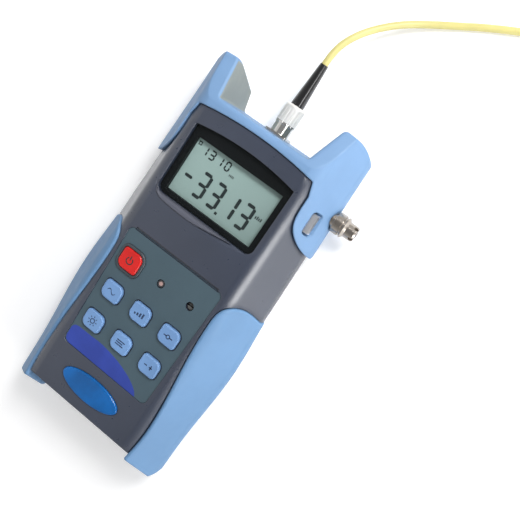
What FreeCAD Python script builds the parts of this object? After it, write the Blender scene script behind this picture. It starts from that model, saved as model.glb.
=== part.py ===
"""Handheld optical power meter with a fibre patch cord in its input port.

The meter lies on its back.  +X is to its right, +Y towards the end with the optical port and the
two guard ears, and +Z out of the display.  The origin is the middle of the flat back.
All sizes are in millimetres.
"""
import FreeCAD, Part
import math
import os

from FreeCAD import Vector

# ---------------------------------------------------------------- housing
thickness = 33.0            # back face to front face
parting_z = 12.0            # where front and back shell meet
shoulder_z = 13.0           # lower end of the front bevel
waist_z = 8.0               # lower end of the upright sides
front_half = 28.5           # half width of the flat front
back_half = 34.0            # half width of the flat back
flat_trim = 0.05            # cut off the sections' front and back to leave true planes
wall = 2.6                  # moulded wall
skin_recess = 1.2           # how far the shells step in below the cap and the grips
seam = 0.3                  # shadow gap round the cap and the grips
fit_gap = 0.05              # between pieces that lie face to face round a curve
lip_gap = 0.1
body_bottom = -84.5         # lower end of the shells
body_top = 67.0             # upper end of the shells, inside the cap
end_wall = 3.0              # cap wall over that end
bottom_slope = 10.5         # how far the lower end slopes back up to the front
housing_widths = [(-95.0, 40.6), (-40.0, 41.0), (10.0, 40.8), (40.0, 39.6), (95.0, 38.8)]

# ---------------------------------------------------------------- cap with the guard ears
cap_proud = 1.0             # cap surface above the shells
cap_widths = [(20.0, 41.2), (45.0, 40.8), (60.0, 40.2), (80.0, 39.6), (100.0, 39.4)]
ear_foot_y = 20.0
ear_side_y = 75.0
ear_corner_r = 9.0
cap_front_y = body_top - 3.0    # seam to the grey front at its corners
cap_front_rise = 2.4        # how far that seam bows up in the middle
valley_y = body_top + end_wall  # outer face of the wall between the ears
ear_top_y = valley_y + 17.5
ear_inner_low = 22.0        # half distance between the ears at their root
ear_inner_high = 26.4       # and at their tips
ear_front_drop = 6.5        # how far the ears' front leans back at the tips
ear_back_y = valley_y + 9.0     # ear height at the back face
flap_edge = [(30.2, 58.0), (30.4, 50.5), (31.8, 44.0), (34.6, 40.0), (38.2, 37.2), (42.5, 35.6), (46.0, 35.4)]
flap_turn_z = 16.0          # below this height the flaps' lower edge runs back up
flap_lean = 9.0             # by this much at the back
seam_edge_r = 0.4           # rounding of the cap along its seam
valley_edge_r = 1.5         # between the ears
ear_edge_r = 0.8
beyond = 60.0               # cutters reach this far out
far_beyond = 100.0

# ---------------------------------------------------------------- grips
grip_widths = [(-92.0, 40.0), (-75.0, 40.3), (-62.0, 40.6), (-45.0, 41.7), (-15.0, 41.9), (12.0, 40.9)]
grip_proud = 1.0            # grip surface above the front and the bevel
grip_bottom = -87.3
grip_slope = 10.0
grip_corner_r = 7.0         # lower outer corners in plan
grip_edge = [(43.5, 0.2), (40.0, 1.6), (37.0, 3.2), (33.2, 4.2), (29.6, 2.9), (27.2, -0.6), (26.4, -7.0),
             (26.7, -17.0), (27.6, -29.0), (28.8, -42.0), (29.6, -56.0), (29.5, -68.0), (28.2, -80.0),
             (26.6, -92.0)]
grip_edge_r = 1.0

# ---------------------------------------------------------------- display
lcd_x = 0.0
lcd_y = 40.0                # centre of the visible glass
lcd_view_w = 43.4
lcd_view_h = 25.0
lcd_top_z = 28.5
window_half = 24.8
window_low = 25.0
window_high = 56.6
window_arch = 2.4           # how far the window's upper edge bows up
lens_drop = 0.6             # lens face below the front face
lens_t = 1.5
lens_gap = 0.1
frame_rim = 1.4             # flange of the black frame under the shell
lcd_glass_w = 48.0
lcd_glass_h = 30.0
lcd_glass_t = 2.8
scoop_reach = 3.2           # scooped bevel below the window, at its middle
scoop_depth = 1.3
scoop_half = 23.0

# ---------------------------------------------------------------- keypad
label_top_half = 24.7
label_low_half = 23.1
label_high = 6.2
label_low = -52.6
label_drop = 0.3
label_t = 0.5
label_gap = 0.1
groove_half = 22.0          # groove along the label's upper edge
groove_w = 0.9
key_pitch_x = 15.7
key_pitch_y = 15.5
key_row0_y = -6.3           # row with the power key
key_w = 9.4
key_h = 8.0
key_top_z = 34.3
key_edge = 0.7              # rounding of the key tops
key_gap = 0.25
key_flange = 1.0
key_flange_t = 1.1
key_travel = 0.8
power_w = 10.0
power_h = 9.0
bezel_rim = 1.1
power_x = -16.3
bezel_top_z = 33.7
small_hole_r = 1.9          # holes for the light sensor and the trimmer
sensor_top_z = 32.3
badge_y = -63.2
badge_half_w = 15.2
badge_half_h = 5.6
badge_seat = 0.8
badge_rise = 0.9
badge_gap = 0.1

# ---------------------------------------------------------------- electronics
board_t = 1.6
board_top_z = 20.0
board_half = 25.5
board_low = -48.0
board_high = 56.0
switch_side = 6.0
switch_h = 3.2
plunger_r = 1.7
plunger_h = 0.6
stem_r = 2.0
touch_gap = 0.1             # left between stem and plunger when a key is fully down
trimmer_side = 6.6
trimmer_h = 4.0
rotor_r = 1.6
rotor_neck_r = 1.2
rotor_neck_l = 2.0
rotor_top_z = 31.2
rotor_slot = 0.6
rotor_gap = 0.06
boss_r = 3.0
boss_x = 28.8
boss_y = 20.0
post_x = 21.0               # posts that carry the board
post_y = 45.0
post_r = 2.0

# ---------------------------------------------------------------- case screws
screw_head_r = 2.0
screw_head_t = 1.5
screw_sink = 1.0            # head face below the back
screw_shank_r = 1.1
screw_l = 18.0
screw_gap = 0.1
sink_gap = 0.4
slot_w = 0.6

# ---------------------------------------------------------------- batteries
cell_r = 7.1
cell_l = 48.0
cell_tip_r = 2.7
cell_tip = 1.6
cell_pitch = 14.8
cell_low = -71.0
cell_z = 9.7
door_t = 2.0
door_half = 1.5 * cell_pitch + 1.8
door_high = -14.0
door_gap = 0.2
door_tongue = 0.9           # how far the side tongues reach into their grooves
door_tongue_t = 0.9
door_tongue_l = 8.0
door_tongue_y = (-66.0, -30.0)
door_travel = 10.0
bay_wall = 1.4
bay_gap = 0.2
contact_t = 0.4
contact_half_h = 4.0
spring_l = 6.0
spring_taper = 0.6
spring_r = 3.2

# ---------------------------------------------------------------- optical port and patch plug
port_x = 1.0
port_z = 14.0
flange_side = 10.4
flange_t = 1.2
sleeve_r = 4.8
thread_r = 3.9
thread_l = 5.0
port_bore_r = 2.4
ferrule_r = 1.25
ferrule_gap = 0.02
ferrule_tip_y = body_top
detector_r = 2.7
detector_l = 3.0
plug_body_r = 2.3
plug_shoulder_r = 3.2
plug_shoulder_l = 1.6
plug_stem_r = 2.0
plug_stem_l = 4.6
nut_r = 4.5
nut_low_r = 4.2
nut_low_l = 4.0
nut_l = 13.2
nut_gap = 0.06
nut_lift = 0.2              # nut above the flange
nut_flutes = 14
boot_r0 = 2.95
boot_r1 = 1.8
boot_l = 20.0
boot_collar = 1.2
cord_r = 1.5

# ---------------------------------------------------------------- patch cord, lying on the table
cord_route = [(1.0, 104.6, 14.0), (1.0, 110.6, 14.0), (2.8, 117.2, 13.1), (6.2, 123.8, 10.9), (11.0, 130.2, 8.0),
              (17.2, 136.4, 4.8), (25.4, 142.0, 2.2), (35.0, 147.2, 1.5), (45.2, 152.5, 1.5), (55.4, 157.0, 1.5),
              (65.6, 161.3, 1.5), (75.6, 165.9, 1.5)]
coil_centre = (72.0, 187.2)
coil_r = 18.0               # mean radius of the turns
coil_w = 9.0
coil_h = 9.0
coil_chamfer = 1.2
tail_z = 4.5                # height of the far connector's axis, its nut on the table
tail_l = 17.0
tail_sunk = 11.0            # where the tail's end is, inside the coil

# ---------------------------------------------------------------- sockets on the right side
usb_y = 49.2
usb_l = 8.6
usb_h = 3.9
usb_inner_x = 24.0
usb_mouth_x = 37.0
usb_wall = 0.4
usb_pocket_in = 4.0
usb_pocket = 1.0            # recess round the socket
side_port_y = 55.0
side_port_z = 12.0
side_neck_r = 3.4
side_barrel_r = 4.7
side_nose_r = 3.5
side_inner_x = 33.0
side_seat_x = 41.9
side_shoulder_x = 47.4
side_end_x = 52.0
side_bore_r = 1.26
side_bore_l = 9.0
side_notches = 4
side_notch_w = 1.5
side_notch_l = 1.8


def on_xy(z):
    return lambda u, v: Vector(u, v, z)


def on_xz(y):
    return lambda u, v: Vector(u, y, v)


def on_yz(x):
    return lambda u, v: Vector(x, u, v)


def grown(corners, distance):
    """The outline of corners (u, v, radius), run anticlockwise, with each side moved outward."""
    moved = []
    for i, (u, v, r) in enumerate(corners):
        (pu, pv, _), (qu, qv, _) = corners[i - 1], corners[(i + 1) % len(corners)]
        a = math.atan2(v - pv, u - pu)
        b = math.atan2(qv - v, qu - u)
        turn = (b - a + math.pi) % (2 * math.pi) - math.pi
        reach = distance / math.cos(turn / 2)
        aim = (a + b) / 2 - math.pi / 2 if abs(b - a) < math.pi else (a + b) / 2 + math.pi / 2
        change = distance if turn > 0 else -distance
        moved.append((u + reach * math.cos(aim), v + reach * math.sin(aim),
                      max(r + change, 0.2) if r else 0))
    return moved


def outline(corners, place):
    """Closed wire through corners (u, v, radius), each corner rounded to its radius."""
    turns = []
    for i, (u, v, r) in enumerate(corners):
        (pu, pv, _), (qu, qv, _) = corners[i - 1], corners[(i + 1) % len(corners)]
        pl, ql = math.hypot(pu - u, pv - v), math.hypot(qu - u, qv - v)
        pu, pv, qu, qv = (pu - u) / pl, (pv - v) / pl, (qu - u) / ql, (qv - v) / ql
        half = math.acos(max(-1.0, min(1.0, pu * qu + pv * qv))) / 2
        if r <= 0:
            turns.append((place(u, v), None, place(u, v)))
            continue
        cut = r / math.tan(half)
        inset = r / math.sin(half) - r
        mu, mv = pu + qu, pv + qv
        ml = math.hypot(mu, mv)
        turns.append((place(u + pu * cut, v + pv * cut),
                      place(u + mu / ml * inset, v + mv / ml * inset),
                      place(u + qu * cut, v + qv * cut)))
    edges = []
    for i, (start, middle, end) in enumerate(turns):
        last = turns[i - 1][2]
        if last.distanceToPoint(start) > 1e-6:
            edges.append(Part.makeLine(last, start))
        if middle is not None:
            edges.append(Part.Arc(start, middle, end).toShape())
    return Part.Wire(edges)


def prism(wire, reach):
    return Part.Face(wire).extrude(reach)


def slab(corners, z0, z1):
    """Upright prism on the plan outline corners."""
    return prism(outline(corners, on_xy(z0)), Vector(0, 0, z1 - z0))


def mirrored(half):
    """Anticlockwise outline from its right half, listed from bottom to top."""
    return half + [(-u, v, r) for u, v, r in reversed(half)]


def block(x0, x1, y0, y1, z0, z1):
    return Part.makeBox(x1 - x0, y1 - y0, z1 - z0, Vector(x0, y0, z0))


def rounded_rect(cx, cy, w, h, r):
    return [(cx + w / 2, cy - h / 2, r), (cx + w / 2, cy + h / 2, r),
            (cx - w / 2, cy + h / 2, r), (cx - w / 2, cy - h / 2, r)]


def rod(x, y, z, r, l, axis):
    return Part.makeCylinder(r, l, Vector(x, y, z), axis)


def fused(shapes):
    return shapes[0].multiFuse(shapes[1:]).removeSplitter() if len(shapes) > 1 else shapes[0]


# ---------------------------------------------------------------- forms that several pieces share

def housing_section(half_width):
    """Cross-section of the housing: flat front, wide bevels, upright sides, rounded back."""
    return mirrored([(back_half, -flat_trim, 4.0), (half_width, waist_z, 6.0),
                     (half_width, shoulder_z, 9.0), (front_half, thickness + flat_trim, 7.0)])


def housing(widths, growth):
    """Solid through the housing's sections at the stations (y, half width), grown outward."""
    wires = [outline(grown(housing_section(w), growth), on_xz(y)) for y, w in widths]
    return between(Part.makeLoft(wires, True, False), -growth, thickness + growth)


def end_profile(bottom, slope, top, growth):
    """Side view of a piece of the housing, its lower end sloping up to the front."""
    over = 10.0
    return grown([(bottom, -over, 0), (top, -over, 0), (top, thickness + over, 0),
                  (bottom + slope * (1 + over / (thickness - shoulder_z)), thickness + over, 0),
                  (bottom, shoulder_z, 6.0)], growth)


def lengthwise(profile):
    """Solid with the side view profile, wider than the whole meter."""
    return prism(outline(profile, on_yz(-beyond)), Vector(2 * beyond, 0, 0))


def shell_envelope(growth=0.0):
    """Outer form of the two shells."""
    return housing(housing_widths, growth).common(
        lengthwise(end_profile(body_bottom, bottom_slope, body_top, growth)))


def curve(points):
    line = Part.BSplineCurve()
    line.interpolate([Vector(*p) for p in points])
    return line.toShape()


def beside(points, distance):
    """The points (x, y) of an open line, each moved by distance to the line's right."""
    moved = []
    for i, (x, y) in enumerate(points):
        (ax, ay), (bx, by) = points[max(i - 1, 0)], points[min(i + 1, len(points) - 1)]
        length = math.hypot(bx - ax, by - ay)
        moved.append((x + (by - ay) / length * distance, y - (bx - ax) / length * distance))
    return moved


def line(ax, ay, bx, by):
    return Part.makeLine(Vector(ax, ay, 0), Vector(bx, by, 0))


def cap_plan(gap=0.0):
    """Plan of the cap: a U round the top end, with two ears above and two side flaps below.

    The seam to the grey front is moved into the front by gap.
    """
    seam_x, seam_y = front_half - gap, cap_front_y - gap
    edge = beside(flap_edge, gap)
    (x0, y0), (x1, y1) = edge[0], edge[-1]
    sides = []
    for s in (1, -1):
        sides += [line(s * seam_x, seam_y, s * x0, y0), curve([(s * x, y, 0) for x, y in edge]),
                  line(s * x1, y1, s * beyond, y1), line(s * beyond, y1, s * beyond, far_beyond)]
    top = line(beyond, far_beyond, -beyond, far_beyond)
    bow = Part.Arc(Vector(seam_x, seam_y, 0), Vector(0, seam_y + cap_front_rise, 0),
                   Vector(-seam_x, seam_y, 0)).toShape()
    return Part.Wire(Part.__sortEdges__(sides + [top, bow]))


def ear_plan():
    """Plan of the cap's upper outline: the valley between the ears, and the ears."""
    side_x = cap_widths[-2][1] + cap_proud + 0.3
    half = [(side_x + wall, ear_foot_y, 0), (side_x, ear_side_y, 0), (side_x, ear_top_y - 1.0, ear_corner_r),
            (ear_inner_high, ear_top_y, 2.5), (ear_inner_low, valley_y, 1.5)]
    return outline(mirrored(half), on_xy(-10.0))


def grip_plan(side, gap=0.0):
    """Plan of one grip's inner edge, moved into the front by gap and closed far outside the housing."""
    edge = [(side * x, y) for x, y in beside(grip_edge, gap)]
    (x0, y0), (x1, y1) = edge[0], edge[-1]
    return Part.Wire([curve([(x, y, 0) for x, y in edge]), line(x1, y1, side * beyond, y1),
                      line(side * beyond, y1, side * beyond, y0), line(side * beyond, y0, x0, y0)])


def upright(wire):
    """Prism on a plan wire at z = 0, from below the back to above the front."""
    face = Part.Face(wire)
    face.translate(Vector(0, 0, -10.0))
    return face.extrude(Vector(0, 0, thickness + 20.0))


def walls_of(solid):
    """The upright faces of a prism."""
    return Part.Compound([f for f in solid.Faces if abs(f.normalAt(0.5, 0.5).z) < 0.5])


def edges_on(shape, walls, wanted):
    """Edges of shape whose middle lies on the walls and is wanted."""
    found = []
    for edge in shape.Edges:
        middle = edge.valueAt((edge.FirstParameter + edge.LastParameter) / 2)
        if wanted(middle) and walls.distToShape(Part.Vertex(middle))[0] < 1e-4:
            found.append(edge)
    return found


def window_plan(growth=0.0):
    """Plan of the display window, its upper edge bowed."""
    half = window_half + growth
    low, high = window_low - growth, window_high + growth
    r = 3.5 + growth
    corners = [(half, low, r), (half, high, 0), (-half, high, 0), (-half, low, r)]
    box = outline(corners, on_xy(-10.0))
    body = prism(box, Vector(0, 0, thickness + 20.0))
    arch = Part.Wire([Part.Arc(Vector(half, high, -10.0), Vector(0, high + window_arch, -10.0),
                               Vector(-half, high, -10.0)).toShape(),
                      Part.makeLine(Vector(-half, high, -10.0), Vector(half, high, -10.0))])
    return body.fuse(prism(arch, Vector(0, 0, thickness + 20.0))).removeSplitter()


def between(shape, z0, z1):
    return shape.common(block(-beyond, beyond, -far_beyond, far_beyond, z0, z1))


def label_plan(growth=0.0):
    return grown([(label_low_half, label_low, 2.5), (label_top_half, label_high, 2.5),
                  (-label_top_half, label_high, 2.5), (-label_low_half, label_low, 2.5)], growth)


def key_places():
    """Centres of the six light blue keys, row by row."""
    return [(column * key_pitch_x, key_row0_y - row * key_pitch_y)
            for row in (1, 2) for column in (-1, 0, 1)]


power_place = (power_x, key_row0_y)
sensor_place = (0.0, key_row0_y)
trimmer_place = (key_pitch_x, key_row0_y)


def key_plan(x, y, w, h, growth=0.0):
    """Leaf-shaped key: two corners tight and two corners wide."""
    tight, wide = 1.4, 3.2
    return grown([(x + w / 2, y - h / 2, tight), (x + w / 2, y + h / 2, wide),
                  (x - w / 2, y + h / 2, tight), (x - w / 2, y - h / 2, wide)], growth)


def badge_solid(growth, z0, z1):
    major, minor = badge_half_w + growth, badge_half_h + growth
    ellipse = Part.Ellipse(Vector(0, badge_y, z0), major, minor).toShape()
    return prism(Part.Wire([ellipse]), Vector(0, 0, z1 - z0))


# ---------------------------------------------------------------- sub-parts

def under_trim():
    """Zones that the shells leave to the cap and the grips."""
    zones = [upright(cap_plan(seam))]
    zones += [upright(grip_plan(side, seam)) for side in (1, -1)]
    core = housing(housing_widths, -skin_recess)
    return [zone.cut(core) for zone in zones]


def both_shells():
    """The shells as one hollow body, before it is parted."""
    body = shell_envelope()
    for zone in under_trim():
        body = body.cut(zone)
    return body.cut(shell_envelope(-wall))


def scoop():
    """Cutter for the crescent bevel below the window."""
    wires = []
    over = 1.0
    for i in range(-2, 3):
        fade = 1.05 - (i / 2) ** 2
        depth, reach = scoop_depth * fade, scoop_reach * fade
        place = on_yz(i / 2 * scoop_half)
        corners = [(window_low + over, thickness - depth, 0), (window_low + over, thickness + over, 0),
                   (window_low - reach * (1 + over / depth), thickness + over, 0),
                   (window_low, thickness - depth, 0)]
        wires.append(Part.makePolygon([place(u, v) for u, v, _ in corners + corners[:1]]))
    return Part.makeLoft(wires, True, False)


def along_y(x, z, r, y0, y1):
    return rod(x, y0, z, r, y1 - y0, Vector(0, 1, 0))


def along_z(x, y, r, z0, z1):
    return rod(x, y, z0, r, z1 - z0, Vector(0, 0, 1))


def socket_openings():
    """Cuts for the two sockets on the right side."""
    half = usb_l / 2 + usb_pocket
    pocket = outline(rounded_rect(usb_y, board_top_z + usb_h / 2, 2 * half, usb_h + 2 * usb_pocket, 2.0),
                     on_yz(usb_inner_x + usb_pocket_in))
    neck = rod(side_inner_x - wall, side_port_y, side_port_z, side_neck_r + fit_gap, beyond, Vector(1, 0, 0))
    return [prism(pocket, Vector(beyond, 0, 0)), neck]


def front_shell(body):
    inner_z = thickness - wall
    shell = between(body, parting_z, thickness + 5.0)
    envelope = shell_envelope(-skin_recess)
    bosses = fused([along_z(s * boss_x, boss_y, boss_r, parting_z, inner_z + 0.5) for s in (1, -1)])
    shell = shell.fuse(bosses.common(envelope)).removeSplitter()
    floor, above = thickness - label_drop - label_t, thickness + 5.0
    cuts = [window_plan(), scoop(), slab(label_plan(label_gap), floor, above),
            block(-groove_half, groove_half, label_high - 1.0, label_high + groove_w, floor, above)]
    holes = [key_plan(x, y, key_w, key_h, key_gap) for x, y in key_places()]
    holes.append(key_plan(*power_place, power_w, power_h, key_gap))
    cuts += [slab(hole, shoulder_z, above) for hole in holes]
    cuts += [along_z(x, y, small_hole_r, shoulder_z, above) for x, y in (sensor_place, trimmer_place)]
    cuts.append(badge_solid(badge_gap, thickness - badge_seat, above))
    cuts.append(along_y(port_x, port_z, sleeve_r + fit_gap, body_top - wall - 5.0, body_top + 5.0))
    screw_end = screw_sink + screw_l + 1.0
    cuts += [along_z(s * boss_x, boss_y, screw_shank_r, parting_z - 1, screw_end) for s in (1, -1)]
    cuts += socket_openings()
    for cut in cuts:
        shell = shell.cut(cut)
    return shell


def back_shell(body):
    shell = between(body, -5.0, parting_z)
    bay_half = 1.5 * cell_pitch + bay_gap
    low, high = cell_low - spring_l, cell_low + cell_l + cell_tip + contact_t
    roof_z = cell_z + cell_r + bay_gap
    floor_z = door_t + fit_gap
    outer = block(-bay_half - bay_wall, bay_half + bay_wall, low - bay_wall, high + bay_wall,
                  floor_z, roof_z + bay_wall)
    inner = block(-bay_half, bay_half, low, high, -5.0, roof_z)
    rises = [along_z(s * boss_x, boss_y, boss_r, 1.0, parting_z) for s in (1, -1)]
    rises += [along_z(s * post_x, post_y, post_r, 1.0, board_top_z - board_t) for s in (1, -1)]
    shell = shell.fuse(fused(rises).common(shell_envelope(-skin_recess))).removeSplitter()
    shell = shell.fuse(outer).removeSplitter()
    over = 10.0
    cuts = [inner, block(-door_half - door_gap, door_half + door_gap, body_bottom - over, door_high + door_gap,
                         -5.0, floor_z)]
    for s in (1, -1):
        for y in door_tongue_y:
            x0, x1 = sorted((s * (door_half - 1), s * (door_half + door_tongue + door_gap)))
            z1 = door_t + fit_gap
            cuts.append(block(x0, x1, y - door_travel - door_gap, y + door_tongue_l + door_gap,
                              z1 - door_tongue_t - 2 * fit_gap, z1))
        cuts.append(along_z(s * boss_x, boss_y, screw_head_r + sink_gap, -1.0, screw_sink + screw_head_t))
        cuts.append(along_z(s * boss_x, boss_y, screw_shank_r + screw_gap, 0.0, parting_z + 1))
    cuts.append(along_y(port_x, port_z, sleeve_r + fit_gap, body_top - wall - 5.0, body_top + 5.0))
    cuts += socket_openings()
    for cut in cuts:
        shell = shell.cut(cut)
    return shell


def cap():
    """Blue end cap: skin over the top end, wall for the port, two ears and two side flaps."""
    solid = housing(cap_widths, cap_proud)
    solid = between(solid, 0.0, thickness + 5.0)
    solid = solid.common(upright(cap_plan()))
    solid = solid.common(prism(ear_plan(), Vector(0, 0, thickness + 20.0)))
    front = thickness + cap_proud
    y0, end_y = flap_edge[0][1] - far_beyond, flap_edge[-1][1] - 1.0
    lean = [(y0, -1.0, 0), (ear_back_y, -1.0, 0), (ear_top_y + 1.0, thickness - ear_front_drop, 0),
            (ear_top_y, thickness - ear_front_drop + 0.5, 2.0), (cap_front_y + 4.0, front, 4.0),
            (y0, front, 0)]
    tips = [(end_y + flap_lean, -10.0, 0), (far_beyond, -10.0, 0), (far_beyond, front + 10.0, 0),
            (end_y, front + 10.0, 0), (end_y, flap_turn_z, 8.0)]
    solid = solid.common(lengthwise(lean)).common(lengthwise(tips))
    ears = walls_of(prism(ear_plan(), Vector(0, 0, thickness + 20.0)))
    seam = walls_of(upright(cap_plan()))
    inner, outer = ear_inner_high - 1.0, front_half + 5.0
    front_z = thickness - ear_front_drop
    valley_edges = edges_on(solid, ears, lambda m: m.z > front_z and abs(m.x) < inner)
    solid = solid.makeFillet(valley_edge_r, valley_edges)
    ear_edges = edges_on(solid, ears, lambda m: m.z > waist_z and abs(m.x) > outer)
    solid = solid.makeFillet(ear_edge_r, ear_edges)
    solid = solid.makeFillet(seam_edge_r, edges_on(solid, seam, lambda m: m.z > 0.01))
    hollow = housing(housing_widths, fit_gap - skin_recess).common(
        lengthwise(end_profile(body_bottom, bottom_slope, body_top + lip_gap, 0.0)))
    solid = solid.cut(hollow)
    solid = solid.cut(along_y(port_x, port_z, sleeve_r + fit_gap, body_top - 5.0, ear_top_y))
    for cut in socket_openings():
        solid = solid.cut(cut)
    return solid


def grip(side):
    solid = housing(grip_widths, grip_proud)
    solid = between(solid, 0.0, thickness + 5.0)
    solid = solid.common(upright(grip_plan(side)))
    solid = solid.common(lengthwise(end_profile(grip_bottom, grip_slope, 20.0, 0.0)))
    half = grip_widths[0][1] + grip_proud
    corners = mirrored([(half, grip_bottom, grip_corner_r), (half + 3.0, -40.0, 0), (half + 3.0, 20.0, 0)])
    solid = solid.common(slab(corners, -1.0, thickness + 5.0))
    walls = walls_of(upright(grip_plan(side)))
    solid = solid.makeFillet(grip_edge_r, edges_on(solid, walls, lambda m: m.z > 0.01))
    hollow = housing(housing_widths, fit_gap - skin_recess).common(
        lengthwise(end_profile(body_bottom, bottom_slope, body_top, fit_gap)))
    under = shell_envelope(fit_gap).cut(upright(grip_plan(side, seam)))
    return solid.cut(hollow).cut(under)


def display_lens():
    top = thickness - lens_drop
    return between(window_plan(-lens_gap), top - lens_t, top)


def display_frame():
    """Black frame under the lens, with the pocket that holds the glass."""
    lens_z = thickness - lens_drop - lens_t - fit_gap
    under_z = thickness - wall - fit_gap
    flange = between(window_plan(frame_rim), lcd_top_z - lcd_glass_t, under_z)
    flange = flange.common(shell_envelope(-wall - fit_gap))
    rise = between(window_plan(-lens_gap), under_z, lens_z)
    opening = block(lcd_x - lcd_view_w / 2, lcd_x + lcd_view_w / 2, lcd_y - lcd_view_h / 2,
                    lcd_y + lcd_view_h / 2, 0.0, thickness)
    g = lip_gap
    pocket = block(lcd_x - lcd_glass_w / 2 - g, lcd_x + lcd_glass_w / 2 + g, lcd_y - lcd_glass_h / 2 - g,
                   lcd_y + lcd_glass_h / 2 + g, 0.0, lcd_top_z)
    return flange.fuse(rise).removeSplitter().cut(opening).cut(pocket)


def display_panel():
    return block(lcd_x - lcd_glass_w / 2, lcd_x + lcd_glass_w / 2, lcd_y - lcd_glass_h / 2,
                 lcd_y + lcd_glass_h / 2, lcd_top_z - lcd_glass_t, lcd_top_z)


def keypad_label():
    top = thickness - label_drop
    label = slab(label_plan(), top - label_t, top)
    for x, y in key_places():
        label = label.cut(slab(key_plan(x, y, key_w, key_h, key_gap), 0.0, thickness))
    rim = bezel_rim + key_gap + label_gap
    label = label.cut(slab(key_plan(*power_place, power_w, power_h, rim), 0.0, thickness))
    for x, y in (sensor_place, trimmer_place):
        label = label.cut(along_z(x, y, small_hole_r, 0.0, thickness))
    return label


def rounded_top(shape, z, radius):
    edges = [e for e in shape.Edges if all(abs(v.Point.z - z) < 1e-6 for v in e.Vertexes)]
    return shape.makeFillet(radius, edges)


def key(x, y, w, h):
    """One key: cap through the front, flange that holds it in, stem over its switch."""
    under_z = thickness - wall - fit_gap
    top = rounded_top(slab(key_plan(x, y, w, h), under_z - key_flange_t, key_top_z), key_top_z, key_edge)
    flange = slab(key_plan(x, y, w, h, key_flange), under_z - key_flange_t, under_z)
    stem_z = board_top_z + switch_h + plunger_h + key_travel + touch_gap
    stem = along_z(x, y, stem_r, stem_z, under_z - key_flange_t)
    return fused([top, flange, stem])


def power_bezel():
    floor = thickness - label_drop - label_t
    ring = rounded_top(slab(key_plan(*power_place, power_w, power_h, bezel_rim + key_gap), floor, bezel_top_z),
                       bezel_top_z, 0.5)
    return ring.cut(slab(key_plan(*power_place, power_w, power_h, key_gap), 0.0, thickness + 5.0))


def main_board():
    """Circuit board with its seven switches and the trimmer's base."""
    bottom = board_top_z - board_t
    pieces = [slab([(board_half, board_low, 2.0), (board_half, board_high, 2.0),
                    (-board_half, board_high, 2.0), (-board_half, board_low, 2.0)], bottom, board_top_z)]
    half = switch_side / 2
    switch_top = board_top_z + switch_h
    for x, y in key_places() + [power_place]:
        pieces.append(block(x - half, x + half, y - half, y + half, board_top_z, switch_top))
        pieces.append(along_z(x, y, plunger_r, switch_top, switch_top + plunger_h))
    x, y = trimmer_place
    half = trimmer_side / 2
    pieces.append(block(x - half, x + half, y - half, y + half, board_top_z, board_top_z + trimmer_h))
    board = fused(pieces)
    return board.cut(along_z(x, y, rotor_neck_r + rotor_gap, board_top_z + trimmer_h - rotor_neck_l - rotor_gap,
                             board_top_z + trimmer_h + 1.0))


def trimmer_rotor():
    """Screwdriver-slotted rotor behind the small right-hand hole."""
    x, y = trimmer_place
    seat = board_top_z + trimmer_h + rotor_gap
    rotor = along_z(x, y, rotor_r, seat, rotor_top_z).fuse(
        along_z(x, y, rotor_neck_r, seat - rotor_neck_l, seat)).removeSplitter()
    return rotor.cut(block(x - rotor_r, x + rotor_r, y - rotor_slot / 2, y + rotor_slot / 2,
                           rotor_top_z - 1.2, rotor_top_z + 1.0))


def light_sensor():
    x, y = sensor_place
    return rounded_top(along_z(x, y, small_hole_r - lip_gap, board_top_z, sensor_top_z), sensor_top_z, 0.5)


def badge():
    base = thickness - badge_seat
    return rounded_top(badge_solid(0.0, base, thickness + badge_rise), thickness + badge_rise, badge_rise - 0.05)


def battery_door():
    """Flat door that slides off towards the lower end on four side tongues."""
    door = block(-door_half, door_half, body_bottom, door_high, 0.0, door_t)
    tongues = []
    for s in (1, -1):
        for y in door_tongue_y:
            x0, x1 = sorted((s * (door_half - 1), s * (door_half + door_tongue)))
            tongues.append(block(x0, x1, y, y + door_tongue_l, door_t - door_tongue_t, door_t))
    door = fused([door] + tongues)
    ribs = [block(-8.0, 8.0, body_bottom + 8.0 + 2.4 * i, body_bottom + 9.2 + 2.4 * i, -1.0, 0.5)
            for i in range(5)]
    for rib in ribs:
        door = door.cut(rib)
    return door


def cell(column):
    """Round battery cell with its raised positive tip."""
    x = column * cell_pitch
    high = cell_low + cell_l
    can = along_y(x, cell_z, cell_r, cell_low, high)
    return can.fuse(along_y(x, cell_z, cell_tip_r, high, high + cell_tip)).removeSplitter()


def contact_strip():
    half = 1.5 * cell_pitch
    y = cell_low + cell_l + cell_tip
    return block(-half, half, y, y + contact_t, cell_z - contact_half_h, cell_z + contact_half_h)


def contact_springs():
    """Cone springs on their strip, drawn as their outer forms."""
    half = 1.5 * cell_pitch
    y = cell_low - spring_l
    pieces = [block(-half, half, y, y + contact_t, cell_z - contact_half_h, cell_z + contact_half_h)]
    for column in (-1, 0, 1):
        pieces.append(Part.makeCone(spring_r, spring_r * spring_taper, spring_l - contact_t,
                                    Vector(column * cell_pitch, y + contact_t, cell_z), Vector(0, 1, 0)))
    return fused(pieces)


def case_screw(side):
    x, y = side * boss_x, boss_y
    head = along_z(x, y, screw_head_r, screw_sink, screw_sink + screw_head_t)
    shank = along_z(x, y, screw_shank_r - fit_gap, screw_sink + screw_head_t, screw_sink + screw_l)
    screw = head.fuse(shank).removeSplitter()
    for w, l in ((slot_w, screw_head_r), (screw_head_r, slot_w)):
        screw = screw.cut(block(x - w / 2, x + w / 2, y - l / 2, y + l / 2, screw_sink - 1, screw_sink + 0.7))
    return screw


def revolved(profile, origin, axis, side):
    """Solid of revolution from (distance along axis, radius) points, closed on the axis."""
    points = [origin + axis * a + side * r for a, r in profile]
    wire = Part.makePolygon(points + points[:1])
    return Part.Face(wire).revolve(origin, axis, 360.0)


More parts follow.
